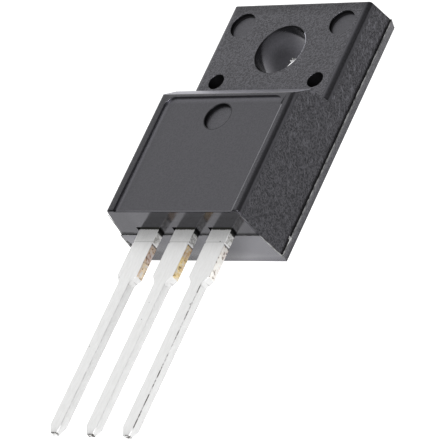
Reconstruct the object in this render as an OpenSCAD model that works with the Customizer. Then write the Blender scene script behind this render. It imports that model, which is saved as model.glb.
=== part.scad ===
// Power transistor in a fully moulded single-screw package with three leads.
// The origin is on the axis of the mounting hole, at the back face. X runs across the
// package, +Y towards the top of the tab, and +Z from the back face to the front face.
// The part lies on its back, as it is screwed to a heat sink. All lengths are millimetres.

/* [Housing] */
// Width of the housing across the parting line of its sides
housing_width = 10.2; // [9.8:0.05:10.6]
// Length of the housing, from the lead end to the top of the tab
housing_length = 16.03; // [15.4:0.05:16.8]
// Thickness of the body, from the back face to the front face
housing_thickness = 4.65; // [4.4:0.05:4.9]
// Thickness of the tab
tab_thickness = 2.47; // [2.3:0.01:2.7]
// Distance from the foot of the step to the top of the tab
step_to_top = 6.8; // [6.2:0.01:7]
// Size of the 45 degree chamfer along the front edge of the step
step_chamfer = 1.01; // [0.7:0.01:1.2]
// Slope of the step's wall below that chamfer, in degrees
step_draft = 9.4; // [6:0.1:16]
// Height of the parting line on the sides, above the back face
parting_height = 0.63; // [0.5:0.01:0.9]
// How far the sides in front of the parting line are set back from those behind it
parting_step = 0.06; // [0.02:0.01:0.12]
// Draft of the sides in front of the parting line, in degrees
side_draft = 5.1; // [4:0.1:8]
// Draft of the sides behind the parting line, in degrees
back_draft = 16; // [10:0.1:18]
// Draft of the top of the tab, in degrees, both ways from the parting line
top_draft = 4; // [2:0.1:8]
// How far the lead end's front part is set back from its back part, at the back of the leads
end_step = 0.03; // [0.02:0.01:0.1]
// Draft of the lead end's front part, in degrees
end_front_draft = 3.7; // [1.5:0.1:5]
// Draft of the lead end's back part, in degrees
end_back_draft = 4.4; // [2:0.1:6]

/* [Tab] */
// Diameter of the mounting hole
hole_diameter = 3.2; // [3:0.02:3.5]
// Distance from the axis of the mounting hole to the top of the tab
hole_to_top = 3.35; // [3.1:0.01:3.6]
// Radius of the rounded front edge of the mounting hole
hole_edge_radius = 0.06; // [0.03:0.01:0.3]
// Diameter of the two blind holes that the mould's support pins leave
support_hole_diameter = 1; // [0.8:0.02:1.2]
// Distance between those two holes
support_hole_spacing = 7.01; // [6.8:0.01:7.2]
// Distance from the mounting hole's axis down to those two holes
support_hole_offset = 2.15; // [2:0.01:2.2]

/* [Ejector marks] */
// Diameter of the round shallow mark that an ejector pin leaves on the body
body_mark_diameter = 1.7; // [1.4:0.02:1.9]
// Diameter of the two such marks on the tab
tab_mark_diameter = 1.62; // [1.4:0.02:1.9]
// Depth of those marks
mark_depth = 0.2; // [0.1:0.01:0.3]
// Distance between the two marks on the tab
tab_mark_spacing = 7.04; // [6.6:0.02:7.2]
// Distance from the marks on the tab to the top of the tab
tab_mark_to_top = 1.58; // [1.3:0.01:1.8]
// Distance from the mark on the body to the lead end
body_mark_to_end = 6.56; // [6:0.01:6.7]

/* [Front panel] */
// Depth of the recessed panel on the front face
panel_depth = 0.12; // [0.06:0.01:0.18]
// Width of the raised rim on each side of the panel
panel_side_rim = 0.54; // [0.4:0.01:0.8]
// Width of the raised rim between the panel and the step
panel_top_rim = 0.2; // [0.15:0.01:0.4]
// Radius of the panel's two rounded corners
panel_corner_radius = 0.6; // [0.3:0.01:0.9]

/* [Leads] */
// Distance between two neighbouring leads
lead_pitch = 2.54; // [2.5:0.01:2.6]
// Thickness of the sheet that the leads are stamped from
lead_thickness = 0.5; // [0.45:0.01:0.6]
// Height of the middle of the leads above the back face
lead_height = 2.87; // [2.75:0.01:3.1]
// Length of the leads outside the housing
lead_length = 13.09; // [12.5:0.01:14]
// Width of a lead along its narrow length
lead_width = 0.76; // [0.6:0.01:0.9]
// Width of a lead's shoulder next to the housing
shoulder_width = 1.34; // [1.2:0.01:1.4]
// Length of the shoulder outside the housing
shoulder_length = 3.03; // [2.9:0.01:3.5]
// Length over which the shoulder narrows
shoulder_taper = 0.36; // [0.3:0.01:0.6]
// Radius of the inner corner where that taper meets the narrow length
taper_radius = 0.5; // [0.2:0.01:0.7]
// Where the stubs of the cut dam bar start, from the housing
stub_start = 0.85; // [0.7:0.01:1.2]
// How far those stubs stand out of the shoulder's edges
stub_height = 0.04; // [0.02:0.01:0.08]
// Depth of the nick that the cutting tool leaves where a stub starts
nick_depth = 0.05; // [0.02:0.01:0.1]
// Length of that nick
nick_length = 0.1; // [0.05:0.01:0.2]
// Clearance of the mould's comb in front of and beside each lead
comb_clearance = 0.16; // [0.05:0.01:0.2]
// Depth of that clearance into the lead end
comb_depth = 0.3; // [0.15:0.01:0.4]
// Length of the tapered tip of a lead
tip_length = 0.5; // [0.3:0.01:0.8]
// Width of the tip's end
tip_width = 0.42; // [0.3:0.01:0.55]
// Thickness of the tip's end
tip_thickness = 0.26; // [0.15:0.01:0.4]

/* [Leadframe inside the housing] */
// Thickness of the collector plate that the die sits on
plate_thickness = 0.9; // [0.7:0.01:1.1]
// Thickness of the insulation between that plate and the back face
back_insulation = 0.55; // [0.4:0.01:0.6]
// Insulation between the plate and each side of the housing
side_insulation = 1; // [0.8:0.01:1.1]
// Insulation between the plate and the wall of the mounting hole
hole_insulation = 1.1; // [0.9:0.01:1.3]
// How far the plate's two ears reach past the support holes' axes
ear_reach = 0.85; // [0.75:0.01:1]
// Distance from the lead end to the plate
plate_to_end = 2.5; // [2.3:0.01:2.7]
// How far a lead runs straight inside the housing
root_length = 0.9; // [0.8:0.01:1.1]
// Width of the wire pads of the outer leads
pad_width = 2.4; // [2:0.01:2.6]
// Length of those pads
pad_length = 1.7; // [1.5:0.01:1.9]
// How far the middle of a pad lies outside its lead's axis
pad_shift = 0.12; // [0:0.01:0.2]

/* [Die and wires] */
// Side length of the square silicon die
die_side = 4.2; // [3:0.05:4.6]
// Thickness of the die
die_thickness = 0.25; // [0.15:0.01:0.35]
// Distance from the middle of the die to the lead end
die_to_end = 6.2; // [5.8:0.05:6.6]
// Thickness of the solder layer under the die
solder_thickness = 0.06; // [0.03:0.01:0.1]
// Width of the solder that shows around the die
solder_margin = 0.1; // [0.05:0.01:0.2]
// Diameter of the emitter wire
emitter_wire_diameter = 0.38; // [0.25:0.01:0.42]
// Diameter of the base wire
base_wire_diameter = 0.25; // [0.2:0.01:0.3]
// Height of the wires' arc over the line between their two ends
wire_rise = 0.75; // [0.6:0.01:0.85]

/* [Hidden] */

top_y = hole_to_top;
end_y = top_y - housing_length;
half_width = housing_width / 2;
front_half_width = half_width - parting_step - (housing_thickness - parting_height) * tan(side_draft);
back_half_width = half_width - parting_height * tan(back_draft);
lead_back = lead_height - lead_thickness / 2;
lead_front = lead_height + lead_thickness / 2;

foot_y = top_y - step_to_top;
ridge_z = housing_thickness - step_chamfer;
ridge_y = foot_y - (ridge_z - tab_thickness) * tan(step_draft);
front_edge_y = ridge_y - step_chamfer;
front_end_y = end_y + end_step + (housing_thickness - lead_back) * tan(end_front_draft);
back_end_y = end_y + lead_back * tan(end_back_draft);

panel_half_width = front_half_width - panel_side_rim;
panel_top_y = front_edge_y - panel_top_rim;

plate_front = back_insulation + plate_thickness;
plate_half_width = half_width - side_insulation;
plate_end_y = end_y + plate_to_end;
ear_y = ear_reach - support_hole_offset;
root_y = end_y + root_length;

die_y = end_y + die_to_end;
die_bottom = plate_front + solder_thickness;
die_front = die_bottom + die_thickness;
pad_x = lead_pitch + pad_shift;
pad_y = root_y + pad_length / 2;

cut = 1;
fine = 64;
taper_steps = 5;
wire_facets = 24;

// Extrudes an outline in the plane of Y and Z, centred on the middle plane of the package.
module across(width) {
    rotate([90, 0, 90]) translate([0, 0, -width / 2]) linear_extrude(width) children();
}

// Cross-section of the sides, with the ledge at the parting line.
module side_outline() {
    half = [
        [back_half_width, 0],
        [half_width, parting_height],
        [half_width - parting_step, parting_height],
        [front_half_width, housing_thickness]
    ];
    mirrored = [for (i = [3:-1:0]) [-half[i].x, half[i].y]];
    polygon(concat(half, mirrored));
}

// Lengthwise section, with the lead end on the left and the top of the tab on the right.
module length_outline() {
    top_front_y = top_y - (tab_thickness - parting_height) * tan(top_draft);
    top_back_y = top_y - parting_height * tan(top_draft);
    polygon([
        [back_end_y, 0],
        [top_back_y, 0],
        [top_y, parting_height],
        [top_front_y, tab_thickness],
        [foot_y, tab_thickness],
        [ridge_y, ridge_z],
        [front_edge_y, housing_thickness],
        [front_end_y, housing_thickness],
        [end_y + end_step, lead_back],
        [end_y, lead_back]
    ]);
}

// The recessed panel, open at the lead end.
module panel_recess() {
    corner_x = panel_half_width - panel_corner_radius;
    corner_y = panel_top_y - panel_corner_radius;
    translate([0, 0, housing_thickness - panel_depth]) linear_extrude(panel_depth + cut) {
        translate([-panel_half_width, end_y - cut])
            square([2 * panel_half_width, corner_y - end_y + cut]);
        translate([-corner_x, corner_y - cut]) square([2 * corner_x, panel_corner_radius + cut]);
        for (side = [-1, 1])
            translate([side * corner_x, corner_y]) circle(panel_corner_radius, $fn = fine);
    }
}

// The mounting hole with its rounded front edge.
module mounting_hole() {
    radius = hole_diameter / 2;
    translate([0, 0, -cut]) cylinder(h = tab_thickness + 2 * cut, r = radius, $fn = fine);
    rotate_extrude($fn = fine) difference() {
        translate([radius / 2, tab_thickness - hole_edge_radius])
            square([radius / 2 + hole_edge_radius, hole_edge_radius + cut]);
        translate([radius + hole_edge_radius, tab_thickness - hole_edge_radius])
            circle(hole_edge_radius, $fn = fine);
    }
}

// The holes of the mould's support pins, which end on the ears of the collector plate.
module support_holes() {
    for (side = [-1, 1])
        translate([side * support_hole_spacing / 2, -support_hole_offset, plate_front])
            cylinder(h = housing_thickness, d = support_hole_diameter, $fn = fine);
}

module ejector_mark(x, y, face, diameter) {
    translate([x, y, face - mark_depth]) cylinder(h = mark_depth + cut, d = diameter, $fn = fine);
}

module ejector_marks() {
    for (side = [-1, 1])
        ejector_mark(side * tab_mark_spacing / 2, top_y - tab_mark_to_top, tab_thickness, tab_mark_diameter);
    ejector_mark(0, end_y + body_mark_to_end, housing_thickness - panel_depth, body_mark_diameter);
}

// The clearance that the mould's comb leaves round a lead where it enters the housing.
module comb_relief(x) {
    relief_width = shoulder_width + 2 * comb_clearance;
    translate([x - relief_width / 2, end_y - cut, lead_back])
        cube([relief_width, cut + comb_depth, lead_thickness + comb_clearance]);
}

module housing_body() {
    intersection() {
        translate([0, top_y + cut, 0]) rotate([90, 0, 0])
            linear_extrude(housing_length + 2 * cut) side_outline();
        across(housing_width + cut) length_outline();
    }
}

module housing() {
    color([0.14, 0.14, 0.15]) difference() {
        housing_body();
        mounting_hole();
        support_holes();
        ejector_marks();
        panel_recess();
        for (i = [-1:1]) comb_relief(i * lead_pitch);
        collector_shape();
        outer_lead_shape(-1);
        outer_lead_shape(1);
        solder_shape();
        die_shape();
        base_wire_shape();
        emitter_wire_shape();
    }
}

// The rounded inner corner at the narrow end of the taper that starts at stub_half.
function taper_corner(stub_half) =
    let (slope = atan2(stub_half - lead_width / 2, shoulder_taper),
         narrow_y = end_y - shoulder_length - shoulder_taper,
         centre = [lead_width / 2 + taper_radius, narrow_y - taper_radius * tan(slope / 2)])
    [for (i = [0:taper_steps])
        let (angle = slope * (1 - i / taper_steps))
        centre + taper_radius * [-cos(angle), sin(angle)]];

// Outline of the straight part of a lead, from inner_y inside the housing to its tip.
module lead_outline(inner_y) {
    shoulder_half = shoulder_width / 2;
    stub_half = shoulder_half + stub_height;
    stub_y = end_y - stub_start;
    tip_y = end_y - lead_length;
    half = concat([
        [shoulder_half, inner_y],
        [shoulder_half, stub_y + nick_length],
        [shoulder_half - nick_depth, stub_y],
        [stub_half, stub_y - stub_height],
        [stub_half, end_y - shoulder_length]
    ], taper_corner(stub_half), [
        [lead_width / 2, tip_y + tip_length],
        [tip_width / 2, tip_y]
    ]);
    mirrored = [for (i = [len(half) - 1:-1:0]) [-half[i].x, half[i].y]];
    polygon(concat(half, mirrored));
}

// Section of that straight part along its length, thinned at the tip.
module lead_section(inner_y) {
    tip_y = end_y - lead_length;
    polygon([
        [tip_y, lead_height - tip_thickness / 2],
        [tip_y + tip_length, lead_back],
        [inner_y, lead_back],
        [inner_y, lead_front],
        [tip_y + tip_length, lead_front],
        [tip_y, lead_height + tip_thickness / 2]
    ]);
}

module straight_lead(inner_y) {
    intersection() {
        translate([0, 0, lead_back]) linear_extrude(lead_thickness) lead_outline(inner_y);
        across(2 * shoulder_width) lead_section(inner_y);
    }
}

// The bent root that takes the middle lead down to the collector plate.
module collector_bend() {
    across(shoulder_width) polygon([
        [root_y - lead_thickness, lead_front],
        [root_y - lead_thickness, lead_back],
        [root_y, lead_back],
        [plate_end_y, plate_front - lead_thickness],
        [plate_end_y + lead_thickness, plate_front - lead_thickness],
        [plate_end_y + lead_thickness, plate_front],
        [plate_end_y, plate_front],
        [root_y, lead_front]
    ]);
}

// The collector plate, cut away round the mounting hole.
module collector_plate() {
    clear_radius = hole_diameter / 2 + hole_insulation;
    translate([0, 0, back_insulation]) linear_extrude(plate_thickness) difference() {
        translate([-plate_half_width, plate_end_y])
            square([2 * plate_half_width, ear_y - plate_end_y]);
        circle(clear_radius, $fn = fine);
    }
}

module collector_shape() {
    straight_lead(root_y);
    collector_bend();
    collector_plate();
}

// An outer lead with its wire pad; side is -1 for the base and 1 for the emitter.
module outer_lead_shape(side) {
    translate([side * lead_pitch, 0, 0]) straight_lead(pad_y);
    translate([side * pad_x - pad_width / 2, root_y, lead_back])
        cube([pad_width, pad_length, lead_thickness]);
}

module solder_shape() {
    side = die_side + 2 * solder_margin;
    translate([-side / 2, die_y - side / 2, plate_front]) cube([side, side, solder_thickness]);
}

module die_shape() {
    translate([-die_side / 2, die_y - die_side / 2, die_bottom]) cube([die_side, die_side, die_thickness]);
}

// The flattened end of a wire, on a face at the height z, along the direction turn.
module wire_foot(x, y, z, turn, diameter) {
    foot_length = 2.4 * diameter;
    foot_width = 1.2 * diameter;
    foot_height = 0.7 * diameter;
    translate([x, y, z]) rotate([0, 0, turn])
        translate([-foot_length / 2, -foot_width / 2, 0]) cube([foot_length, foot_width, foot_height]);
}

// A wire in one arc from the die's front at from_point to a pad's front at to_point.
module wire_shape(from_point, to_point, diameter) {
    span = to_point - from_point;
    turn = atan2(span.y, span.x);
    run = norm(span);
    height = lead_front - die_front;
    chord = norm([run, height]);
    radius = (chord * chord / 4 + wire_rise * wire_rise) / (2 * wire_rise);
    half_angle = asin(chord / 2 / radius);
    wire_foot(from_point.x, from_point.y, die_front, turn, diameter);
    wire_foot(to_point.x, to_point.y, lead_front, turn, diameter);
    translate([from_point.x, from_point.y, die_front + diameter * 0.55])
        rotate([0, 0, turn]) rotate([0, -atan2(height, run), 0])
            translate([chord / 2, 0, wire_rise - radius]) rotate([90, 0, 0])
                rotate([0, 0, 90 - half_angle]) rotate_extrude(angle = 2 * half_angle, $fn = fine)
                    translate([radius, 0]) circle(d = diameter, $fn = wire_facets);
}

module base_wire_shape() {
    wire_shape([-die_side / 4, die_y - die_side / 4], [-pad_x, pad_y], base_wire_diameter);
}

module emitter_wire_shape() {
    wire_shape([die_side / 5, die_y], [pad_x, pad_y], emitter_wire_diameter);
}

module collector_lead() {
    color([0.80, 0.80, 0.79]) collector_shape();
}

module base_lead() {
    color([0.80, 0.80, 0.79]) outer_lead_shape(-1);
}

module emitter_lead() {
    color([0.80, 0.80, 0.79]) outer_lead_shape(1);
}

module die_solder() {
    color([0.55, 0.55, 0.57]) solder_shape();
}

module die() {
    color([0.32, 0.34, 0.40]) die_shape();
}

module base_wire() {
    color([0.86, 0.86, 0.87]) base_wire_shape();
}

module emitter_wire() {
    color([0.86, 0.86, 0.87]) emitter_wire_shape();
}

housing();
collector_lead();
base_lead();
emitter_lead();
die_solder();
die();
base_wire();
emitter_wire();
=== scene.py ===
"""Looks of the moulded power transistor. It lies on its back face on a pale floor, as modelled.

Lengths named here are millimetres in the part's own frame; MM turns them into metres.
"""
import math
from collections import namedtuple

import bmesh
import bpy
from mathutils import Euler, Matrix, Vector, noise


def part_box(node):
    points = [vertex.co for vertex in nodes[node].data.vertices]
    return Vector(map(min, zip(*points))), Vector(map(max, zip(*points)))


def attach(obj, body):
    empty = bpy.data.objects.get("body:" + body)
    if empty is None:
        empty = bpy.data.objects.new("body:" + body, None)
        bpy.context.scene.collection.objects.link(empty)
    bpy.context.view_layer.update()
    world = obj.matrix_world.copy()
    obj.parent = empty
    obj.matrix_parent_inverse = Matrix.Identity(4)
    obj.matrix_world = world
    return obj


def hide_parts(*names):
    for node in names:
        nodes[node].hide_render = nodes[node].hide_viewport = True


MM = 0.001

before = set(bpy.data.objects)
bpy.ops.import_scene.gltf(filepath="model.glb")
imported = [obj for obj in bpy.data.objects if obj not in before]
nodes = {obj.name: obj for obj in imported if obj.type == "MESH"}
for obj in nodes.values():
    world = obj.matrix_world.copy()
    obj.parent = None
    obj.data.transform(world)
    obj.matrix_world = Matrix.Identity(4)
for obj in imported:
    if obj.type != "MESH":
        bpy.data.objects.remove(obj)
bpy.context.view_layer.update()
housing_low, housing_high = (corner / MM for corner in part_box("housing"))
lead_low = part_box("emitter_lead")[0] / MM

# Heights, places and sizes that the faces of the part are told apart by
FRONT_Z = housing_high.z
END_Y = housing_low.y
TOP_Y = housing_high.y
HALF_WIDTH = housing_high.x
TAB_Z = 2.47
PARTING_Z = 0.63
PARTING_STEP = 0.06
WALL_Y = -3.5
LEAD_BACK_Z = lead_low.z
LEAD_THICKNESS = 0.5
LEAD_FRONT_Z = LEAD_BACK_Z + LEAD_THICKNESS
LEAD_HALF_WIDTH = 0.38
LEAD_PITCH = 2.54
TIP_Y = lead_low.y
STUB_HIGH_Y = END_Y - 0.85
STUB_LOW_Y = END_Y - 3.03
HOLE_RADIUS = 1.6
HOLE_ROUNDING = 0.065
PANEL_DEPTH = 0.12
PANEL_CORNER_RADIUS = 0.6
# The rim right of the panel has a worn inner edge: where it is and ends, its width and its drop
RIM_INNER_X = 4.141
RIM_CORNER_Y = -5.454
RIM_WEAR_WIDTH = 0.13
RIM_WEAR_DROP = 0.050
PANEL_TOP_Y = RIM_CORNER_Y + PANEL_CORNER_RADIUS
MARK_CENTRES = (Vector((-3.52, 1.77)), Vector((3.52, 1.77)), Vector((0, -6.12)))
MARK_RADIUS = 0.85
# The floor of a mark is in the wall's shade outside a disc round each of these
MARK_LIT_CENTRES = ((-3.37, 1.63, 2.27), (3.67, 1.63, 2.27), (0.07, -6.18, 4.33))
# A ring of painted shade runs round the mark on the panel
BODY_MARK = (0, -6.12, 4.53)
MARK_RING_RADIUS = 0.87
SUPPORT_HOLE_CENTRES = (Vector((-3.505, -2.15)), Vector((3.505, -2.15)))
SUPPORT_HOLE_RADIUS = 0.5

# Camera at the photograph's viewing angle, in degrees and millimetres
CAMERA_AZIMUTH = 55.4
CAMERA_ELEVATION = 38.17
CAMERA_ROLL = -41.69
CAMERA_DISTANCE = 254.2
CAMERA_TARGET = (1.497, -11.544, 2.3)
CAMERA_LENS = 385.6
SENSOR_WIDTH = 36


def make_camera():
    turn = Euler((math.radians(90 - CAMERA_ELEVATION), 0, math.radians(CAMERA_AZIMUTH))).to_matrix()
    turn = turn @ Matrix.Rotation(math.radians(CAMERA_ROLL), 3, "Z")
    away = turn @ Vector((0, 0, CAMERA_DISTANCE))
    data = bpy.data.cameras.new("camera")
    data.lens = CAMERA_LENS
    data.sensor_width = SENSOR_WIDTH
    data.clip_start = 10 * MM
    data.clip_end = 10
    camera = bpy.data.objects.new("camera", data)
    camera.matrix_world = Matrix.Translation((Vector(CAMERA_TARGET) + away) * MM) @ turn.to_4x4()
    bpy.context.scene.collection.objects.link(camera)
    bpy.context.scene.camera = camera


# Shader helpers
class Shader:
    """A material's node tree, with the object's own coordinates in millimetres at hand."""

    def __init__(self, name):
        self.material = bpy.data.materials.new(name)
        self.material.use_nodes = True
        self.tree = self.material.node_tree
        self.surface = self.tree.nodes["Principled BSDF"]
        place = self.tree.nodes.new("ShaderNodeTexCoord")
        scale = self.tree.nodes.new("ShaderNodeVectorMath")
        scale.operation = "SCALE"
        scale.inputs["Scale"].default_value = 1 / MM
        self.tree.links.new(place.outputs["Object"], scale.inputs[0])
        self.place = scale.outputs[0]

    def link(self, source, target):
        self.tree.links.new(source, target)

    def value(self, source, socket):
        if isinstance(source, (int, float)):
            socket.default_value = source
        else:
            self.link(source, socket)

    def noise(self, per_mm, detail=2.0, roughness=0.5, stretch=None, place=None):
        texture = self.tree.nodes.new("ShaderNodeTexNoise")
        texture.inputs["Scale"].default_value = per_mm
        texture.inputs["Detail"].default_value = detail
        texture.inputs["Roughness"].default_value = roughness
        place = place or self.place
        if stretch:
            mapping = self.tree.nodes.new("ShaderNodeMapping")
            mapping.inputs["Scale"].default_value = stretch
            self.link(place, mapping.inputs["Vector"])
            place = mapping.outputs[0]
        self.link(place, texture.inputs["Vector"])
        return texture.outputs["Fac"]

    def turned_place(self, turn_x):
        """The object's place turned about its X axis, so that a noise can be stretched slantwise."""
        mapping = self.tree.nodes.new("ShaderNodeMapping")
        mapping.inputs["Rotation"].default_value = (turn_x, 0, 0)
        self.link(self.place, mapping.inputs["Vector"])
        return mapping.outputs[0]

    def distance(self, point):
        step = self.tree.nodes.new("ShaderNodeVectorMath")
        step.operation = "DISTANCE"
        self.link(self.place, step.inputs[0])
        step.inputs[1].default_value = point
        return step.outputs["Value"]

    def axis(self, name):
        split = self.tree.nodes.new("ShaderNodeSeparateXYZ")
        self.link(self.place, split.inputs[0])
        return split.outputs[name]

    def math(self, operation, first, second=0.0):
        step = self.tree.nodes.new("ShaderNodeMath")
        step.operation = operation
        self.value(first, step.inputs[0])
        self.value(second, step.inputs[1])
        return step.outputs[0]

    def times(self, first, second):
        return self.math("MULTIPLY", first, second)

    def off(self, source, place):
        """How far a value lies from a place, to either side."""
        return self.math("ABSOLUTE", self.math("SUBTRACT", source, place))

    def ramp(self, source, low, high, to_low=0.0, to_high=1.0):
        """A smooth change from to_low to to_high while the source goes from low to high."""
        step = self.tree.nodes.new("ShaderNodeMapRange")
        step.interpolation_type = "SMOOTHSTEP"
        self.value(source, step.inputs["Value"])
        step.inputs["From Min"].default_value = low
        step.inputs["From Max"].default_value = high
        step.inputs["To Min"].default_value = to_low
        step.inputs["To Max"].default_value = to_high
        return step.outputs[0]

    def mix(self, factor, first, second):
        step = self.tree.nodes.new("ShaderNodeMix")
        step.data_type = "RGBA"
        self.value(factor, step.inputs[0])
        for source, socket in ((first, step.inputs[6]), (second, step.inputs[7])):
            if isinstance(source, tuple):
                socket.default_value = (*source, 1.0)
            else:
                self.link(source, socket)
        return step.outputs[2]

    def bump(self, height, distance_mm):
        step = self.tree.nodes.new("ShaderNodeBump")
        step.inputs["Distance"].default_value = distance_mm * MM
        self.link(height, step.inputs["Height"])
        return step.outputs[0]


# Black moulding compound, with a finish for each kind of face: its tone, how rough it is, how much
# light it mirrors head-on, the grain's count per millimetre and depth, how much the grain changes the
# gloss, and the height from which painted shade darkens it over a parting line, if any. The roughness
# and grain are the mould's; the tone and mirror level also carry painted light and shade, which differ
# from face to face.
Finish = namedtuple("Finish", "tone roughness mirror grain_per_mm grain_depth contrast dirt_z")
FINISHES = {
    "side": Finish(0.006, 0.34, 0.036, 4.2, 0.040, 0.60, PARTING_Z),
    "tab": Finish(0.008, 0.36, 0.055, 4.6, 0.035, 0.55, None),
    "rim": Finish(0.008, 0.34, 0.043, 6.0, 0.015, 0.25, None),
    # Painted highlight: the sloped strip along the right rim has a far paler tone and more gloss, which
    # paint the bright line at the panel's edge
    "worn_rim_highlight": Finish(0.090, 0.45, 0.045, 6.0, 0.006, 0.20, None),
    "panel": Finish(0.008, 0.40, 0.051, 4.6, 0.008, 0.16, None),
    "panel_wall": Finish(0.008, 0.34, 0.105, 6.0, 0.006, 0.20, None),
    # Painted light: the step's tone and mirror level are raised well above the compound's to paint its
    # bright faces
    "step": Finish(0.035, 0.36, 0.265, 6.0, 0.014, 0.25, None),
    "end_front": Finish(0.004, 0.14, 0.072, 4.0, 0.001, 0.05, LEAD_BACK_Z + 0.03),
    # Painted reflection: the lower end face mirrors more, to paint in the pale floor it faces
    "end_back": Finish(0.010, 0.22, 0.112, 6.0, 0.003, 0.05, None),
    "bore": Finish(0.005, 0.12, 0.072, 4.0, 0.002, 0.10, None),
    # Painted highlight: the hole's lit lip is far paler and glossier than the compound
    "lip_highlight": Finish(0.250, 0.25, 0.400, 8.0, 0.010, 0.30, None),
    "mark": Finish(0.008, 0.36, 0.055, 5.0, 0.010, 0.20, None),
    # Painted shade: near black and dull, for the far lip of the hole, the clearance round the leads,
    # the support holes and the walls of the marks
    "pocket_shade": Finish(0.002, 0.50, 0.010, 8.0, 0.010, 0.10, None),
    "back_edge": Finish(0.008, 0.30, 0.053, 5.0, 0.030, 0.50, None),
    "back": Finish(0.008, 0.42, 0.050, 7.0, 0.012, 0.20, None),
}
FINISH_ORDER = list(FINISHES)
COMPOUND_IOR = 1.7
COMPOUND_TINT = (0.895, 0.88, 1.0)
# How much stronger the compound's own colour is in blue than in red and green
COMPOUND_BLUE = 1.08
# How much the roughness goes up and down with the grain
ROUGHNESS_SPREAD = 0.1
# The grain is made of ridges, a finer noise and faint clouds; these are their shares of it
RIDGE_SHARE = 0.55
FINE_SHARE = 0.45
CLOUD_SHARE = 0.1
# How wide a ridge is, in the noise's own values, and how much finer than it the finer noise is
RIDGE_WIDTH = 0.07
FINER = 2.2
CLOUDS_PER_MM = 0.45
# Painted shade lies up to this height over a parting line, and leaves this share of the gloss
PARTING_SHADE_HEIGHT = 0.20
PARTING_SHADE_SHARE = 0.18
# Slantwise streaks on the sides: their slant, their count per millimetre along each axis, and
# how much gloss they add
STREAK_TURN = math.radians(-36)
STREAK_STRETCH = (2.0, 2.0, 6.5)
STREAK_SHARE = 1.1
# The hole's wall is dullest round this place, on its left
BORE_DULL_CENTRE = (-1.45, 0.676, 0.4)
# These finishes lie on faces whose long edges are rounded, and the grain fades there
ROUNDED_FINISHES = ("side", "tab", "rim")

# Painted light and shade: where the gloss of a finish changes along an axis, from where to where, and
# its share at each end
Fade = namedtuple("Fade", "axis low high at_low at_high")
SHADE_FADES = {
    "step": Fade("X", 0.0, 4.2, 1.0, 0.80),
    "tab": Fade("Y", 2.0, 3.7, 1.0, 0.40),
    "rim": Fade("X", -4.2, -4.0, 0.70, 1.0),
    "end_front": Fade("X", -3.5, -3.0, 0.86, 1.0),
    "back_edge": Fade("Z", 0.0, 0.35, 0.72, 1.0),
    "bore": Fade("Z", 1.5, 2.35, 1.0, 0.60),
}


def spark_grain(shader, coarse, per_mm):
    """Ridges where the coarse noise crosses its middle, with a finer noise and faint clouds."""
    ridges = shader.ramp(shader.off(coarse, 0.5), 0.0, RIDGE_WIDTH, 0.72, 0.40)
    fine = shader.noise(per_mm * FINER, detail=1.0, roughness=0.6)
    clouds = shader.math("SUBTRACT", shader.noise(CLOUDS_PER_MM, detail=3.0), 0.5)
    grain = shader.math("ADD", shader.times(ridges, RIDGE_SHARE), shader.times(fine, FINE_SHARE))
    return shader.math("ADD", grain, shader.times(clouds, CLOUD_SHARE))


def side_streaks(shader):
    """One in the slanting streaks of the sides and nought between them; denser towards the tab."""
    slanted = shader.noise(1.0, detail=1.0, roughness=0.6, stretch=STREAK_STRETCH,
                           place=shader.turned_place(STREAK_TURN))
    density = shader.ramp(shader.axis("Y"), END_Y + 2, 0.0, 0.35, 1.0)
    return shader.times(shader.ramp(slanted, 0.56, 0.66), density)


def calm_edges(shader):
    """The grain's share: one on flat stretches, and low on the rounded edges along both sides."""
    off_front = shader.off(shader.axis("Z"), FRONT_Z - 0.12)
    below_wall = shader.ramp(shader.axis("Y"), WALL_Y - 0.1, WALL_Y + 0.1, 1.0, 0.0)
    off_tab = shader.math("ADD", shader.off(shader.axis("Z"), TAB_Z - 0.15), below_wall)
    inward = shader.math("SUBTRACT", HALF_WIDTH - 0.55, shader.math("ABSOLUTE", shader.axis("X")))
    inward = shader.ramp(inward, 0.0, 0.1)
    off_edge = shader.math("ADD", shader.math("MINIMUM", off_front, off_tab), inward)
    return shader.ramp(off_edge, 0.12, 0.30, 0.15, 1.0)


def panel_painted_light(shader, gloss):
    """Painted light beside the panel's left wall and its top wall, and a ring of painted shade round
    the mark.
    """
    off_wall = shader.math("ADD", shader.axis("X"), RIM_INNER_X)
    off_top = shader.math("SUBTRACT", PANEL_TOP_Y, shader.axis("Y"))
    painted_lift = shader.math("MAXIMUM", shader.ramp(off_wall, 0.0, 0.38, 2.8, 1.0),
                       shader.ramp(off_top, 0.0, 0.45, 2.0, 1.0))
    off_ring = shader.off(shader.distance(BODY_MARK), MARK_RING_RADIUS)
    return shader.times(shader.times(gloss, painted_lift), shader.ramp(off_ring, 0.03, 0.06, 0.35, 1.0))


def mark_gloss(shader, gloss):
    """Dull where the mark's floor lies in the shade of its wall."""
    spans = [shader.distance(point) for point in MARK_LIT_CENTRES]
    nearest = shader.math("MINIMUM", spans[0], shader.math("MINIMUM", spans[1], spans[2]))
    return shader.times(gloss, shader.ramp(nearest, MARK_RADIUS - 0.04, MARK_RADIUS, 1.0, 0.04))


def bore_gloss(shader, gloss):
    """Duller round a place on the left of the hole's wall, and glossier further from it."""
    return shader.times(gloss, shader.ramp(shader.distance(BORE_DULL_CENTRE), 0.4, 1.5, 0.54, 1.24))


LOCAL_GLOSS = {"panel": panel_painted_light, "mark": mark_gloss, "bore": bore_gloss}


def parting_shade(shader, coarse, low_z):
    """The gloss's share: low in the painted shade over a parting line and one above its ragged edge."""
    edge = shader.math("ADD", low_z, shader.times(coarse, PARTING_SHADE_HEIGHT))
    over = shader.math("SUBTRACT", shader.axis("Z"), edge)
    return shader.ramp(over, 0, PARTING_SHADE_HEIGHT * 0.8, PARTING_SHADE_SHARE, 1.0)


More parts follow.
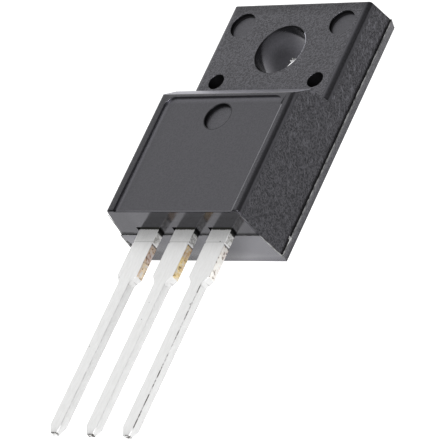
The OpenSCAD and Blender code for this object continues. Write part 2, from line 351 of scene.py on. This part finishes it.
def moulding_material(name):
    finish = FINISHES[name]
    shader = Shader("moulding_" + name)
    coarse = shader.noise(finish.grain_per_mm, detail=2.0, roughness=0.6)
    grain = spark_grain(shader, coarse, finish.grain_per_mm)
    relief = grain
    head_on = ((COMPOUND_IOR - 1) / (COMPOUND_IOR + 1)) ** 2
    level = finish.mirror / head_on / 2
    gloss = shader.ramp(grain, 0.33, 0.67, level * (1 - finish.contrast), level * (1 + finish.contrast))
    if name == "side":
        gloss = shader.math("ADD", gloss, shader.times(side_streaks(shader), level * STREAK_SHARE))
    if name in ROUNDED_FINISHES:
        calm = calm_edges(shader)
        plain = shader.times(shader.math("SUBTRACT", 1.0, calm), level)
        gloss = shader.math("ADD", shader.times(gloss, calm), plain)
        relief = shader.times(grain, calm)
    if name in SHADE_FADES:
        fade = SHADE_FADES[name]
        along = shader.axis(fade.axis)
        gloss = shader.times(gloss, shader.ramp(along, fade.low, fade.high, fade.at_low, fade.at_high))
    if name in LOCAL_GLOSS:
        gloss = LOCAL_GLOSS[name](shader, gloss)
    if finish.dirt_z is not None:
        gloss = shader.times(gloss, parting_shade(shader, coarse, finish.dirt_z))
    surface = shader.surface.inputs
    surface["Base Color"].default_value = (finish.tone, finish.tone, finish.tone * COMPOUND_BLUE, 1)
    surface["IOR"].default_value = COMPOUND_IOR
    surface["Specular Tint"].default_value = (*COMPOUND_TINT, 1)
    shader.link(gloss, surface["Specular IOR Level"])
    roughness = shader.ramp(grain, 0.3, 0.7, finish.roughness * (1 - ROUGHNESS_SPREAD),
                            finish.roughness * (1 + ROUGHNESS_SPREAD))
    shader.link(roughness, surface["Roughness"])
    shader.link(shader.bump(relief, finish.grain_depth), surface["Normal"])
    return shader.material


# How straight a face has to look along an axis to count as flat, upright or sloped
FLAT = 0.99
UPRIGHT = 0.9
SLOPED = 0.6
# How near a face has to lie to a named height, in millimetres
NEAR = 0.02
# Smaller faces are the stretches of curves, in square millimetres
LEAST_FACE = 0.05
LEAST_CHAMFER = 2


def face_kind(face):
    """Which face of the housing this is, from its place and its normal; None on small faces."""
    normal = face.normal
    centre = face.calc_center_median() / MM
    area = face.calc_area() / MM / MM
    if normal.z > FLAT:
        if centre.z > FRONT_Z - NEAR:
            return "front"
        if abs(centre.z - (FRONT_Z - PANEL_DEPTH)) < NEAR:
            return "panel"
        if abs(centre.z - TAB_Z) < NEAR:
            return "tab"
        if abs(centre.z - PARTING_Z) < NEAR or abs(centre.z - LEAD_BACK_Z) < NEAR:
            return "ledge"
        return None
    if normal.z < -FLAT and centre.z < NEAR:
        return "back"
    if abs(normal.x) > UPRIGHT and abs(centre.x) > HALF_WIDTH - 0.6 and area > LEAST_FACE:
        return "side" if centre.z > PARTING_Z else "back_side"
    if abs(normal.y) > UPRIGHT and area > LEAST_FACE:
        if centre.y < END_Y + 0.25:
            return "end_front" if centre.z > LEAD_BACK_Z else "end_back"
        if centre.y > TOP_Y - 0.3:
            return "top_end" if centre.z > PARTING_Z else "back_top"
        if abs(centre.y - WALL_Y) < 0.3:
            return "wall"
    if normal.y > SLOPED and normal.z > SLOPED and area > LEAST_CHAMFER:
        return "chamfer"
    return None


# Radius of the rounding between two kinds of face, in millimetres
EDGE_RADII = {
    frozenset(("front", "side")): 0.22,
    frozenset(("front", "end_front")): 0.13,
    frozenset(("panel", "end_front")): 0.16,
    frozenset(("side", "end_front")): 0.15,
    frozenset(("front", "chamfer")): 0.08,
    frozenset(("chamfer", "side")): 0.10,
    frozenset(("chamfer", "wall")): 0.20,
    frozenset(("wall", "side")): 0.10,
    frozenset(("wall", "tab")): 0.10,
    frozenset(("tab", "side")): 0.30,
    frozenset(("tab", "top_end")): 0.15,
    frozenset(("side", "top_end")): 0.12,
    frozenset(("back_side", "back_top")): 0.12,
    frozenset(("back", "back_side")): 0.03,
    frozenset(("back", "back_top")): 0.03,
    frozenset(("back", "end_back")): 0.03,
}
RIM_RADIUS = 0.03
BORE_BACK_RADIUS = 0.10
LARGEST_RADIUS = max(EDGE_RADII.values())
CREASE_ANGLE = math.radians(28)
FINISH_OF = {
    "front": "rim",
    "panel": "panel",
    "tab": "tab",
    "side": "side",
    "back_side": "back_edge",
    "top_end": "side",
    "back_top": "back_edge",
    "wall": "step",
    "chamfer": "step",
    "end_front": "end_front",
    "end_back": "end_back",
    "back": "back",
    "ledge": "rim",
}


# The hole's rounded front edge is painted with a highlight right of this place, and with painted shade
# left of it
LIT_LIP_X = 1.2
# Left of a lead by this share of the pitch, the clearance round it is as bright as the end face; the
# rest of it is painted in shade
LIT_POCKET = -0.1


def is_worn_strip(face, centre):
    """Whether this face is the worn inner edge of the rim right of the panel."""
    in_strip = RIM_INNER_X - 0.01 < centre.x < RIM_INNER_X + RIM_WEAR_WIDTH + 0.01
    return face.normal.z > 0.8 and in_strip and centre.z > FRONT_Z - RIM_WEAR_DROP - 0.01


def is_panel_wall(face, centre):
    over_panel = centre.z > FRONT_Z - PANEL_DEPTH - 0.01
    return face.normal.z < 0.5 and over_panel and centre.y < PANEL_TOP_Y + 0.05


def small_face_finish(face):
    """The finish of a face that face_kind has no name for."""
    centre = face.calc_center_median() / MM
    if centre.xy.length < HOLE_RADIUS + 0.25:
        if centre.z > TAB_Z - HOLE_ROUNDING:
            return "lip_highlight" if centre.x > LIT_LIP_X else "pocket_shade"
        return "bore"
    if centre.y < END_Y + 0.5:
        off_lead = (centre.x / LEAD_PITCH + 0.5) % 1 - 0.5
        return "end_front" if off_lead < LIT_POCKET and centre.z > LEAD_BACK_Z else "pocket_shade"
    if is_worn_strip(face, centre):
        return "worn_rim_highlight"
    if is_panel_wall(face, centre):
        return "panel_wall"
    # Support holes and the walls of marks are painted in shade
    if any((centre.xy - hole).length < SUPPORT_HOLE_RADIUS + 0.1 for hole in SUPPORT_HOLE_CENTRES):
        return "pocket_shade"
    if any((centre.xy - mark).length < MARK_RADIUS + 0.1 for mark in MARK_CENTRES):
        return "pocket_shade" if abs(face.normal.z) < 0.5 else "mark"
    return "rim"


def welded_copy(node_name):
    """The node's solid as one closed mesh, with each flat face in one piece."""
    mesh = bmesh.new()
    mesh.from_mesh(nodes[node_name].data)
    bmesh.ops.remove_doubles(mesh, verts=mesh.verts, dist=0.0001 * MM)
    bmesh.ops.dissolve_limit(mesh, angle_limit=math.radians(0.5), verts=mesh.verts, edges=mesh.edges)
    mesh.normal_update()
    return mesh


def wear_right_rim(mesh):
    """Slopes a strip along the right rim's inner edge; gives back the edges that stay sharp."""
    def front_parts():
        faces = [face for face in mesh.faces if face_kind(face) == "front"]
        edges = {edge for face in faces for edge in face.edges}
        verts = {vert for face in faces for vert in face.verts}
        return [*faces, *edges, *verts]

    strip_x = (RIM_INNER_X + RIM_WEAR_WIDTH) * MM
    bmesh.ops.bisect_plane(mesh, geom=front_parts(), plane_co=(strip_x, 0, 0), plane_no=(1, 0, 0))
    corner_y = RIM_CORNER_Y * MM
    bmesh.ops.bisect_plane(mesh, geom=front_parts(), plane_co=(0, corner_y, 0), plane_no=(0, 1, 0))
    for vert in mesh.verts:
        if abs(vert.co.x / MM - RIM_INNER_X) < 0.004 and vert.co.z / MM > FRONT_Z - 0.01:
            vert.co.z -= RIM_WEAR_DROP * MM
    mesh.normal_update()
    return [edge for edge in mesh.edges
            if all(abs(vert.co.x - strip_x) < 0.001 * MM for vert in edge.verts)]


def mark_creases(mesh, weights):
    """Smooth shading runs over slight bends and rounded edges only."""
    for face in mesh.faces:
        face.smooth = True
    for edge in mesh.edges:
        bend = edge.calc_face_angle(0) if len(edge.link_faces) == 2 else math.pi
        edge.smooth = bend < CREASE_ANGLE or edge[weights] > 0


def link_piece(mesh, name, materials):
    data = bpy.data.meshes.new(name)
    mesh.to_mesh(data)
    mesh.free()
    for material in materials:
        data.materials.append(material)
    piece = bpy.data.objects.new(name, data)
    bpy.context.scene.collection.objects.link(piece)
    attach(piece, "root")
    return piece


def round_edges(piece, width_mm, segments):
    bevel = piece.modifiers.new("rounded edges", "BEVEL")
    bevel.limit_method = "WEIGHT"
    bevel.width = width_mm * MM
    bevel.segments = segments
    bevel.use_clamp_overlap = False
    bevel.loop_slide = False
    shading = piece.modifiers.new("flat faces stay flat", "WEIGHTED_NORMAL")
    shading.weight = 100
    shading.keep_sharp = True


def edge_radius(edge, kinds):
    """The rounding of an edge of the housing: by the kinds of its two faces, or by its place."""
    pair = frozenset(kinds[face] for face in edge.link_faces)
    middle = (edge.verts[0].co + edge.verts[1].co) / 2 / MM
    if middle.xy.length < HOLE_RADIUS + 0.02 and middle.z < NEAR:
        return BORE_BACK_RADIUS
    sideways = max(abs(face.normal.x) for face in edge.link_faces) > 0.98 and edge.calc_length() > MM
    if None in pair and pair & {"front", "tab", "panel"} and edge.is_convex and not sideways:
        if middle.xy.length > HOLE_RADIUS + 0.3 and middle.y > END_Y + 0.5:
            return RIM_RADIUS
    return EDGE_RADII.get(pair, 0)


def make_housing():
    mesh = welded_copy("housing")
    weights = mesh.edges.layers.float.new("bevel_weight_edge")
    sharp_edges = set(wear_right_rim(mesh))
    kinds = {face: face_kind(face) for face in mesh.faces}
    for face, kind in kinds.items():
        finish = FINISH_OF.get(kind) or small_face_finish(face)
        face.material_index = FINISH_ORDER.index(finish)
    for edge in mesh.edges:
        if len(edge.link_faces) == 2 and edge not in sharp_edges:
            edge[weights] = edge_radius(edge, kinds) / LARGEST_RADIUS
    mark_creases(mesh, weights)
    for edge in sharp_edges:
        edge.smooth = False
    materials = [moulding_material(name) for name in FINISH_ORDER]
    piece = link_piece(mesh, "moulded_housing", materials)
    round_edges(piece, LARGEST_RADIUS, 3)
    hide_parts("housing")


# Thin resin flash along the mould's parting line, with its darkest and palest grey; the pale grey also
# paints the highlight that the flash's edge catches
FLASH_AND_HIGHLIGHT_GREYS = (0.02, 0.15)
# The chip, the scraps and the line at the corner: thin resin in paler greys, which paint the light
# these bits catch
SCRAP_HIGHLIGHT_GREYS = (0.10, 0.40)
# A fin's cross-section is set out again after each such length, in millimetres
FIN_STEP = 0.08
UP = (0, 0, 1)


def flash_material(dark, light):
    shader = Shader("resin_flash")
    patches = shader.noise(3.0, detail=3.0)
    grey = shader.mix(shader.ramp(patches, 0.35, 0.65), (dark, dark, dark), (light, light, light))
    shader.link(grey, shader.surface.inputs["Base Color"])
    shader.surface.inputs["Roughness"].default_value = 0.32
    return shader.material


def add_fin(mesh, start, end, outward, thickness, height, ragged, seed):
    """A thin fin along the line from start to end, whose outer edge is ragged."""
    start, end = Vector(start), Vector(end)
    outward = Vector(outward).normalized()
    along = end - start
    side = along.normalized().cross(outward).normalized() * thickness / 2
    count = max(2, round(along.length / FIN_STEP))
    rows = []
    for step in range(count + 1):
        place = start + along * step / count
        slow_wave = noise.noise(Vector((seed * 7.3, step * 0.41, 0.5)))
        quick_wave = noise.noise(Vector((step * 1.13, seed * 3.1, 2.5)))
        reach = height * (1 + ragged * (slow_wave + 0.5 * quick_wave))
        ends = (place - outward * thickness - side, place - outward * thickness + side,
                place + outward * reach + side * 0.5, place + outward * reach - side * 0.5)
        rows.append([mesh.verts.new(corner * MM) for corner in ends])
    for first, second in zip(rows, rows[1:]):
        for corner in range(4):
            following = (corner + 1) % 4
            mesh.faces.new((first[corner], second[corner], second[following], first[following]))
    mesh.faces.new(rows[0])
    mesh.faces.new(reversed(rows[-1]))


# The end face between and beside the leads: the gaps that flash runs along, as X from and to
END_GAPS = ((-4.8, -3.4), (-1.7, -0.85), (0.85, 1.7), (3.4, 4.8))


def make_flash():
    mesh = bmesh.new()
    for seed, side in ((1, -1), (2, 1)):
        line_x = side * (HALF_WIDTH - 0.012)
        line_z = PARTING_Z - 0.01
        add_fin(mesh, (line_x, END_Y + 0.02, line_z), (line_x, TOP_Y - 0.1, line_z), UP,
                thickness=0.03, height=0.045, ragged=0.5, seed=seed)

        corner = (side * (HALF_WIDTH - 0.02), END_Y + 0.09, PARTING_Z)
        shoulder_x = side * (HALF_WIDTH - PARTING_STEP - 0.20)
        add_fin(mesh, corner, (shoulder_x, END_Y + 0.03, LEAD_BACK_Z), (side, -0.2, 0),
                thickness=0.03, height=0.10, ragged=0.3, seed=seed + 4)

        top = (side * (HALF_WIDTH - PARTING_STEP - 0.36), END_Y + 0.13, FRONT_Z - 0.35)
        add_fin(mesh, (shoulder_x, END_Y + 0.07, LEAD_BACK_Z), top, (side, -1, 0),
                thickness=0.02, height=0.015, ragged=0.9, seed=seed + 8)
    for gap, (low_x, high_x) in enumerate(END_GAPS):
        low = (low_x, END_Y + 0.01, LEAD_BACK_Z - 0.005)
        high = (high_x, END_Y + 0.01, LEAD_BACK_Z - 0.005)
        add_fin(mesh, low, high, (0, -0.2, 1), thickness=0.02, height=0.02, ragged=1.2, seed=gap + 12)
    bmesh.ops.recalc_face_normals(mesh, faces=mesh.faces)
    link_piece(mesh, "parting_flash", [flash_material(*FLASH_AND_HIGHLIGHT_GREYS)])


# A chip lies on the right parting line, near the leads
CHIP_Y = -11.43
# Scraps at the hole's back rim: each one's place round the hole in degrees, and its height
SCRAPS = ((131, 0.08), (134, 0.20), (137, 0.12), (140, 0.16))
# How far round the hole a scrap reaches, in degrees, and the height that it starts from
SCRAP_ANGLE = 2.5
SCRAP_Z = 0.08


def add_chip(mesh):
    """The chip, and the pale line that runs from it to the corner and curls inwards there."""
    line_x = HALF_WIDTH - 0.01
    curl_y = END_Y + 0.18
    curl_end = (line_x - 0.08, curl_y - 0.05, PARTING_Z + 0.03)
    add_fin(mesh, (line_x, CHIP_Y - 0.09, PARTING_Z), (line_x, CHIP_Y + 0.07, PARTING_Z), (-0.1, 0, 1),
            thickness=0.05, height=0.15, ragged=0.6, seed=21)
    add_fin(mesh, (line_x, CHIP_Y, PARTING_Z), (line_x, curl_y, PARTING_Z), UP,
            thickness=0.02, height=0.045, ragged=0.3, seed=22)
    add_fin(mesh, (line_x, curl_y, PARTING_Z), curl_end, UP,
            thickness=0.02, height=0.05, ragged=0.2, seed=23)


def make_scraps():
    mesh = bmesh.new()
    add_chip(mesh)
    radius = HOLE_RADIUS - 0.015
    for seed, (angle, height) in enumerate(SCRAPS):
        first = math.radians(angle)
        last = math.radians(angle + SCRAP_ANGLE)
        start = (radius * math.cos(first), radius * math.sin(first), SCRAP_Z)
        end = (radius * math.cos(last), radius * math.sin(last), SCRAP_Z)
        add_fin(mesh, start, end, UP, thickness=0.02, height=height, ragged=0.6, seed=30 + seed)
    bmesh.ops.recalc_face_normals(mesh, faces=mesh.faces)
    link_piece(mesh, "resin_scraps", [flash_material(*SCRAP_HIGHLIGHT_GREYS)])


# Leads, from left to right: the colours of bare copper, of its yellow part and of the tin on the cut
# stubs, how much of a stub is bare, and how strong the line of painted shade on the front face's edge
# is
Wear = namedtuple("Wear", "copper gold bare tin edge_line")
LEADS = {
    "base_lead": Wear((0.50, 0.30, 0.22), (0.72, 0.56, 0.33), 0.75, (0.60, 0.58, 0.56), 0.22),
    "collector_lead": Wear((0.48, 0.30, 0.16), (0.78, 0.62, 0.26), 0.95, (0.60, 0.56, 0.48), 0.05),
    "emitter_lead": Wear((0.66, 0.56, 0.50), (0.74, 0.72, 0.66), 0.55, (0.74, 0.74, 0.72), 1.0),
}
LEAD_EDGE_RADIUS = 0.03
# Dark specks on the leads: place in millimetres and radius
SPECKS = (
    ((2.86, -13.41, 3.12), 0.045),
    ((2.83, -17.47, 3.12), 0.05),
    ((2.97, -21.67, 3.12), 0.05),
    ((0.77, -15.65, 3.12), 0.03),
    ((-0.08, -17.4, 3.12), 0.03),
    ((-0.04, -18.5, 3.12), 0.03),
    ((-3.04, -15.8, 3.12), 0.03),
    ((-2.80, -20.3, 3.12), 0.03),
)
# The tin is duller between the body and here, where a faint line crosses the leads
BLEED_Y = END_Y - 0.77
# Colours of the tin, of what lies on it, and of the shade painted on it
CLEAN_TIN = (0.63, 0.63, 0.63)
SCUFFED_TIN = (0.57, 0.57, 0.565)
DULL_TIN = (0.30, 0.30, 0.29)
BLEED_LINE = (0.20, 0.20, 0.19)
BURR_EDGE_SHADE = (0.05, 0.045, 0.04)
TIP_DARKENING = (0.06, 0.055, 0.05)
SPECK = (0.03, 0.03, 0.03)
ROOT_SIDE_SHADE = (0.16, 0.155, 0.14)
ROOT_SHADE = (0.01, 0.01, 0.01)
# Painted shade on what shows of a lead inside the clearance round it: its sides and its front
POCKET_SIDE = (0.004, 0.004, 0.004)
POCKET_FRONT = (0.035, 0.035, 0.030)
STUB_PIT = (0.10, 0.06, 0.04)
STUB_NICK_SHADE = (0.05, 0.05, 0.05)


def dull_near_body(shader, colour, grain, on_front):
    """Duller tin near the body, ended by a faint line across the front face."""
    near_body = shader.ramp(shader.axis("Y"), BLEED_Y - 0.01, BLEED_Y + 0.01)
    dull = shader.times(near_body, shader.ramp(grain, 0.35, 0.65, 0.0, 0.16))
    colour = shader.mix(dull, colour, DULL_TIN)
    off_line = shader.off(shader.axis("Y"), BLEED_Y)
    line = shader.times(shader.ramp(off_line, 0.01, 0.035, 0.45, 0.0), on_front)
    return shader.mix(line, colour, BLEED_LINE)


def burr_edge_shade(shader, colour, middle_x, strength, on_front):
    """A broken line of painted shade along the right edge of the front face, below the shoulder."""
    off_edge = shader.off(shader.axis("X"), middle_x + LEAD_HALF_WIDTH)
    line = shader.times(shader.ramp(off_edge, 0.025, 0.06, 1.0, 0.0), on_front)
    below_shoulder = shader.ramp(shader.axis("Y"), STUB_LOW_Y - 0.40, STUB_LOW_Y - 0.10, 1.0, 0.0)
    patches = shader.noise(1.3, detail=4.0, roughness=0.8)
    line = shader.times(line, below_shoulder)
    line = shader.times(line, shader.ramp(patches, 0.40, 0.60, 0.04, strength))
    return shader.mix(line, colour, BURR_EDGE_SHADE)


def tip_patches_and_specks(shader, colour, seed, middle_x):
    """Dark patches at the lead's tip, and the dark specks that lie on this lead."""
    tip_patches = shader.ramp(shader.noise(6.0 + seed, detail=2.0), 0.46, 0.54)
    at_tip = shader.ramp(shader.axis("Y"), TIP_Y + 0.02, TIP_Y + 0.09, 1.0, 0.0)
    colour = shader.mix(shader.times(at_tip, tip_patches), colour, TIP_DARKENING)
    for point, radius in SPECKS:
        if abs(point[0] - middle_x) < 1:
            speck = shader.ramp(shader.distance(point), radius * 0.6, radius, 1.0, 0.0)
            colour = shader.mix(speck, colour, SPECK)
    return colour


def shaded_root(shader, colour, grain, middle_x, on_front):
    """Painted shade on the side face near the body, and in the clearance round the lead."""
    on_side = shader.math("SUBTRACT", 1.0, on_front)
    on_side = shader.times(on_side, shader.ramp(shader.axis("X"), middle_x + 0.60, middle_x + 0.64))
    near_body = shader.ramp(shader.axis("Y"), BLEED_Y - 0.01, BLEED_Y + 0.01)
    side_shade = shader.ramp(shader.noise(4.0, detail=3.0, roughness=0.7), 0.42, 0.56, 0.10, 0.75)
    side_shade = shader.times(side_shade, shader.times(on_side, near_body))
    colour = shader.mix(side_shade, colour, ROOT_SIDE_SHADE)
    ragged_y = shader.math("ADD", shader.axis("Y"), shader.times(grain, 0.16))
    root = shader.times(shader.ramp(ragged_y, END_Y - 0.10, END_Y - 0.02), on_side)
    colour = shader.mix(root, colour, ROOT_SHADE)
    inside = shader.ramp(ragged_y, END_Y + 0.10, END_Y + 0.13)
    return shader.mix(inside, colour, shader.mix(on_front, POCKET_SIDE, POCKET_FRONT))


def tin_material(name, seed, wear):
    """Matte tin plate with fine pits, faint scuffs, dark specks, dark patches at the tips, and painted
    shade along a burred edge and round the root.
    """
    shader = Shader("tin_" + name)
    middle_x = (seed - 1) * LEAD_PITCH
    grain = shader.noise(14.0, detail=3.0, roughness=0.65)
    scuffs = shader.noise(3.0, detail=3.0, roughness=0.6, stretch=(3.0, 0.5, 3.0))
    on_front = shader.ramp(shader.axis("Z"), LEAD_FRONT_Z - 0.06, LEAD_FRONT_Z - 0.02)
    colour = shader.mix(shader.times(shader.ramp(scuffs, 0.3, 0.7), 0.7), SCUFFED_TIN, CLEAN_TIN)
    colour = dull_near_body(shader, colour, grain, on_front)
    colour = burr_edge_shade(shader, colour, middle_x, wear.edge_line, on_front)
    colour = tip_patches_and_specks(shader, colour, seed, middle_x)
    colour = shaded_root(shader, colour, grain, middle_x, on_front)
    shader.link(colour, shader.surface.inputs["Base Color"])
    shader.surface.inputs["Metallic"].default_value = 0.65
    shader.link(shader.ramp(grain, 0.2, 0.8, 0.38, 0.50), shader.surface.inputs["Roughness"])
    height = shader.math("ADD", shader.times(grain, 0.5), shader.times(scuffs, 0.8))
    shader.link(shader.bump(height, 0.012), shader.surface.inputs["Normal"])
    return shader.material


def stub_material(name, wear):
    """Where the dam bar was cut off: torn metal, partly bare copper and partly smeared tin."""
    shader = Shader("stub_" + name)
    torn = shader.noise(5.0, detail=4.0, roughness=0.7)
    patches = shader.noise(1.6, detail=2.0, roughness=0.5)
    lower = shader.ramp(shader.axis("Y"), STUB_LOW_Y + 0.4, STUB_HIGH_Y - 0.5, 1.0, 0.0)
    golden = shader.math("ADD", shader.times(lower, 0.6), shader.ramp(patches, 0.40, 0.62, -0.1, 0.5))
    golden = shader.math("MINIMUM", shader.math("MAXIMUM", golden, 0.0), 1.0)
    metal = shader.mix(golden, wear.copper, wear.gold)
    bare = shader.times(shader.ramp(torn, 0.36, 0.54), wear.bare)
    pits = shader.times(shader.ramp(shader.noise(5.0, detail=2.0), 0.58, 0.64), 0.75)
    colour = shader.mix(pits, shader.mix(bare, wear.tin, metal), STUB_PIT)
    # Painted shade: a dark ragged line across the stub where its shear notch lies
    off_nick = shader.off(shader.axis("Y"), STUB_HIGH_Y - 0.06)
    ragged = shader.math("SUBTRACT", off_nick, shader.times(torn, 0.06))
    colour = shader.mix(shader.ramp(ragged, 0.0, 0.05, 0.85, 0.0), colour, STUB_NICK_SHADE)
    shader.link(colour, shader.surface.inputs["Base Color"])
    shader.surface.inputs["Metallic"].default_value = 0.6
    shader.surface.inputs["Roughness"].default_value = 0.42
    shader.link(shader.bump(torn, 0.05), shader.surface.inputs["Normal"])
    return shader.material


# Edges of a lead are rounded where they bend by more than this. Those that reach into the body
# are rounded only if they are long, and the shortest ones, in the clearance, stay as they are
LEAD_BEND = math.radians(30)
LONG_EDGE = 3
SHORTEST_EDGE = 0.12


def make_lead(seed, node_name):
    wear = LEADS[node_name]
    mesh = welded_copy(node_name)
    weights = mesh.edges.layers.float.new("bevel_weight_edge")
    for face in mesh.faces:
        centre = face.calc_center_median() / MM
        is_stub = abs(face.normal.x) > UPRIGHT and STUB_LOW_Y < centre.y < STUB_HIGH_Y
        face.material_index = 1 if is_stub else 0
    for edge in mesh.edges:
        length = edge.calc_length() / MM
        outside = all(vert.co.y / MM < END_Y for vert in edge.verts) or length > LONG_EDGE
        bent = len(edge.link_faces) == 2 and edge.calc_face_angle() > LEAD_BEND
        edge[weights] = 1.0 if outside and bent and length > SHORTEST_EDGE else 0.0
    mark_creases(mesh, weights)
    materials = [tin_material(node_name, seed, wear), stub_material(node_name, wear)]
    piece = link_piece(mesh, "tinned_" + node_name, materials)
    round_edges(piece, LEAD_EDGE_RADIUS, 2)
    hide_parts(node_name)


# Pieces inside the housing, which keep their solids
def plain_metal(name, light, dark, roughness, per_mm, depth, metallic=1.0):
    shader = Shader(name)
    grain = shader.noise(per_mm, detail=3.0)
    colour = shader.mix(shader.ramp(grain, 0.3, 0.7), dark, light)
    shader.link(colour, shader.surface.inputs["Base Color"])
    shader.surface.inputs["Metallic"].default_value = metallic
    shader.surface.inputs["Roughness"].default_value = roughness
    shader.link(shader.bump(grain, depth), shader.surface.inputs["Normal"])
    return shader.material


def dress_inner_nodes():
    wire = plain_metal("drawn_wire", (0.90, 0.90, 0.91), (0.78, 0.78, 0.80), 0.3, 9.0, 0.006)
    solder = plain_metal("dull_solder", (0.62, 0.62, 0.64), (0.44, 0.44, 0.46), 0.5, 5.0, 0.01)
    silicon = plain_metal("silicon_die", (0.36, 0.38, 0.45), (0.28, 0.30, 0.36), 0.2, 3.0, 0.001, 0.6)
    looks = {"base_wire": wire, "emitter_wire": wire, "die_solder": solder, "die": silicon}
    for name, material in looks.items():
        nodes[name].data.materials.clear()
        nodes[name].data.materials.append(material)


# Floor, world and lamp. The floor also glows, of which the camera and mirrors see these shares
FLOOR_SIZE = 3.0
FLOOR_GREY = 0.92
FLOOR_GLOW = 1.4
CAMERA_SHARE = 0.7
MIRROR_SHARE = 0.5


def make_floor():
    data = bpy.data.meshes.new("floor")
    half = FLOOR_SIZE / 2
    corners = [(-half, -half, 0), (half, -half, 0), (half, half, 0), (-half, half, 0)]
    data.from_pydata(corners, [], [(0, 1, 2, 3)])
    floor = bpy.data.objects.new("floor", data)
    bpy.context.scene.collection.objects.link(floor)
    material = bpy.data.materials.new("pale_floor")
    material.use_nodes = True
    tree = material.node_tree
    tree.nodes.clear()
    output = tree.nodes.new("ShaderNodeOutputMaterial")
    lit = tree.nodes.new("ShaderNodeBsdfDiffuse")
    lit.inputs["Color"].default_value = (FLOOR_GREY, FLOOR_GREY, FLOOR_GREY, 1)
    white = tree.nodes.new("ShaderNodeEmission")
    white.inputs["Color"].default_value = (1, 1, 1, 1)
    white.inputs["Strength"].default_value = FLOOR_GLOW
    path = tree.nodes.new("ShaderNodeLightPath")
    seen = tree.nodes.new("ShaderNodeMath")
    seen.operation = "MULTIPLY"
    seen.inputs[1].default_value = CAMERA_SHARE
    share = tree.nodes.new("ShaderNodeMath")
    share.operation = "MULTIPLY_ADD"
    share.inputs[1].default_value = MIRROR_SHARE
    blend = tree.nodes.new("ShaderNodeMixShader")
    tree.links.new(path.outputs["Is Camera Ray"], seen.inputs[0])
    tree.links.new(path.outputs["Is Glossy Ray"], share.inputs[0])
    tree.links.new(seen.outputs[0], share.inputs[2])
    tree.links.new(share.outputs[0], blend.inputs[0])
    tree.links.new(lit.outputs[0], blend.inputs[1])
    tree.links.new(white.outputs[0], blend.inputs[2])
    tree.links.new(blend.outputs[0], output.inputs[0])
    data.materials.append(material)


# The bright side of the studio: where it is, how wide, and how bright it and the rest are
BRIGHT_SIDE = (-0.70, 0.60, 0.40)
BRIGHT_FROM = 0.40
BRIGHT_TO = 0.92
STUDIO_LEVEL = 0.10
BRIGHT_LEVEL = 1.4


def make_world():
    """A dim studio with one broad soft light low behind the part, on its left."""
    world = bpy.data.worlds.new("studio")
    bpy.context.scene.world = world
    world.use_nodes = True
    tree = world.node_tree
    background = tree.nodes["Background"]
    background.inputs["Color"].default_value = (1, 1, 1, 1)
    place = tree.nodes.new("ShaderNodeTexCoord")
    along = tree.nodes.new("ShaderNodeVectorMath")
    along.operation = "DOT_PRODUCT"
    along.inputs[1].default_value = Vector(BRIGHT_SIDE).normalized()
    spread = tree.nodes.new("ShaderNodeMapRange")
    spread.interpolation_type = "SMOOTHSTEP"
    spread.inputs["From Min"].default_value = BRIGHT_FROM
    spread.inputs["From Max"].default_value = BRIGHT_TO
    spread.inputs["To Min"].default_value = STUDIO_LEVEL
    spread.inputs["To Max"].default_value = BRIGHT_LEVEL
    tree.links.new(place.outputs["Generated"], along.inputs[0])
    tree.links.new(along.outputs["Value"], spread.inputs["Value"])
    tree.links.new(spread.outputs[0], background.inputs["Strength"])


# One soft lamp: its place, what it shines at and its size in millimetres, and its power in watts
LAMP_PLACE = Vector((305, -360, 455))
LAMP_AIM = Vector((0, -6, 0))
LAMP_SIZE = 300
LAMP_POWER = 7.0


def make_lamp():
    data = bpy.data.lights.new("lamp_fill", "AREA")
    data.shape = "DISK"
    data.size = LAMP_SIZE * MM
    data.energy = LAMP_POWER
    lamp = bpy.data.objects.new("lamp_fill", data)
    lamp.location = LAMP_PLACE * MM
    lamp.rotation_euler = (LAMP_AIM - LAMP_PLACE).to_track_quat("-Z", "Y").to_euler()
    bpy.context.scene.collection.objects.link(lamp)


make_camera()
make_housing()
make_flash()
make_scraps()
for seed, lead_name in enumerate(LEADS):
    make_lead(seed, lead_name)
dress_inner_nodes()
make_floor()
make_world()
make_lamp()

bpy.context.scene.view_settings.view_transform = "Standard"


def corners(box):
    return [list(map(float, corner)) for corner in box]
